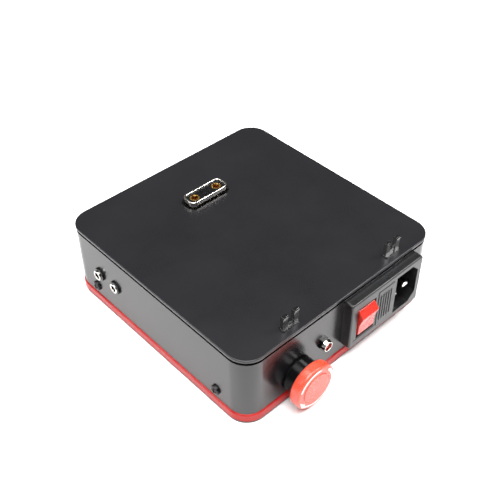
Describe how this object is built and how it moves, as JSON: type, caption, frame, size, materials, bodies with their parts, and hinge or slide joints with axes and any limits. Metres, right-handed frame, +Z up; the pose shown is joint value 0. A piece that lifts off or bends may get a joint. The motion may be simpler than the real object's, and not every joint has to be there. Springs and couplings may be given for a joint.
{
  "type": "balance battery charger",
  "caption": "Low square charger case with a dock connector and hooks on top, stop button, indicator, jacks and a switched, fused mains inlet.",
  "frame": {"origin": "centre of the case footprint, on the surface it stands on", "axes": "+Z up; -Y the front with stop button, indicator and mains inlet; -X the side with the two jacks"},
  "size_m": [0.1358, 0.1501, 0.053],
  "materials": {
    "satin_black_aluminium": "satin",
    "anodised_wall": "satin",
    "red_trim": "gloss",
    "black_base": "satin",
    "steel": "satin",
    "black_screw": "satin",
    "nickel": "polished",
    "black_plastic": "gloss",
    "inlet_plastic": "satin",
    "gold": "polished",
    "stop_red": "satin",
    "rocker_red": "gloss",
    "lens_red": "gloss",
    "rubber": "matte",
    "circuit_board": "satin",
    "fuse_glass": "gloss",
    "insulation": "matte",
    "ferrite": "matte",
    "winding_tape": "satin",
    "capacitor_sleeve": "gloss",
    "heatsink_aluminium": "satin",
    "wire_black": "satin",
    "wire_green": "satin",
    "wire_red": "satin"
  },
  "bodies": {
    "case": {"top_plate": "satin_black_aluminium", "wall_frame": "anodised_wall", "red_trim_band": "red_trim", "bottom_plate": "black_base", "corner_posts": "steel", "base_screws": "steel", "side_screw_front_left": "black_screw", "side_screw_rear_left": "black_screw", "side_screw_front_right": "black_screw", "side_screw_rear_right": "black_screw", "side_tab_blocks": "steel", "dock_shell": "nickel", "dock_insert": "black_plastic", "dock_power_socket_left": "gold", "dock_power_socket_right": "gold", "dock_signal_contacts": "gold", "dock_screws": "steel", "dock_board": "circuit_board", "battery_hook_left": "black_plastic", "battery_hook_right": "black_plastic", "stop_collar": "black_plastic", "stop_gasket": "rubber", "stop_lock_nut": "black_plastic", "stop_return_spring": "steel", "stop_contact_block": "inlet_plastic", "stop_terminals": "gold", "led_bezel": "nickel", "led_lens": "lens_red", "led_nut": "nickel", "jack_bushing_rear": "nickel", "jack_bushing_front": "nickel", "jack_nuts": "black_plastic", "jack_housings": "black_plastic", "inlet_housing": "inlet_plastic", "inlet_live_blade": "nickel", "inlet_neutral_blade": "nickel", "inlet_earth_blade": "nickel", "fuse_contacts": "gold", "power_board": "circuit_board", "insulation_sheet": "insulation", "board_standoffs": "steel", "board_screws": "steel", "transformer_core": "ferrite", "transformer_winding": "winding_tape", "bulk_capacitor": "capacitor_sleeve", "filter_choke": "ferrite", "heatsink": "heatsink_aluminium", "power_transistors": "black_plastic", "output_capacitors": "capacitor_sleeve", "mains_wires": "wire_black", "earth_wire": "wire_green", "output_wires": "wire_red", "signal_wires": "wire_black"},
    "stop_plunger_body": {"stop_plunger": "black_plastic"},
    "stop_head_body": {"stop_head": "stop_red", "stop_centre_cap": "stop_red"},
    "rocker_body": {"rocker_switch": "rocker_red"},
    "fuse_drawer_body": {"fuse_drawer": "inlet_plastic", "fuse_tube": "fuse_glass", "fuse_caps": "nickel"}
  },
  "joints": [
    {"name": "stop_push", "type": "slide", "parent": "case", "child": "stop_plunger_body", "axis": [0, 1, 0], "range_m": [0, 0.0035], "stiffness_N_per_m": 1200, "springref_m": -0.002, "deforming": ["stop_return_spring"]},
    {"name": "stop_twist", "type": "hinge", "parent": "stop_plunger_body", "child": "stop_head_body", "pos_m": [-0.0326, -0.07825, 0.0144], "axis": [0, 1, 0], "range_deg": [0, 45], "stiffness_Nm_per_rad": 0.02, "springref_deg": -11.46},
    {"name": "rocker_tilt", "type": "hinge", "parent": "case", "child": "rocker_body", "pos_m": [0.0091, -0.06925, 0.0258], "axis": [1, 0, 0], "range_deg": [-21, 0]},
    {"name": "fuse_drawer_slide", "type": "slide", "parent": "case", "child": "fuse_drawer_body", "axis": [0, -1, 0], "range_m": [0, 0.015]}
  ]
}
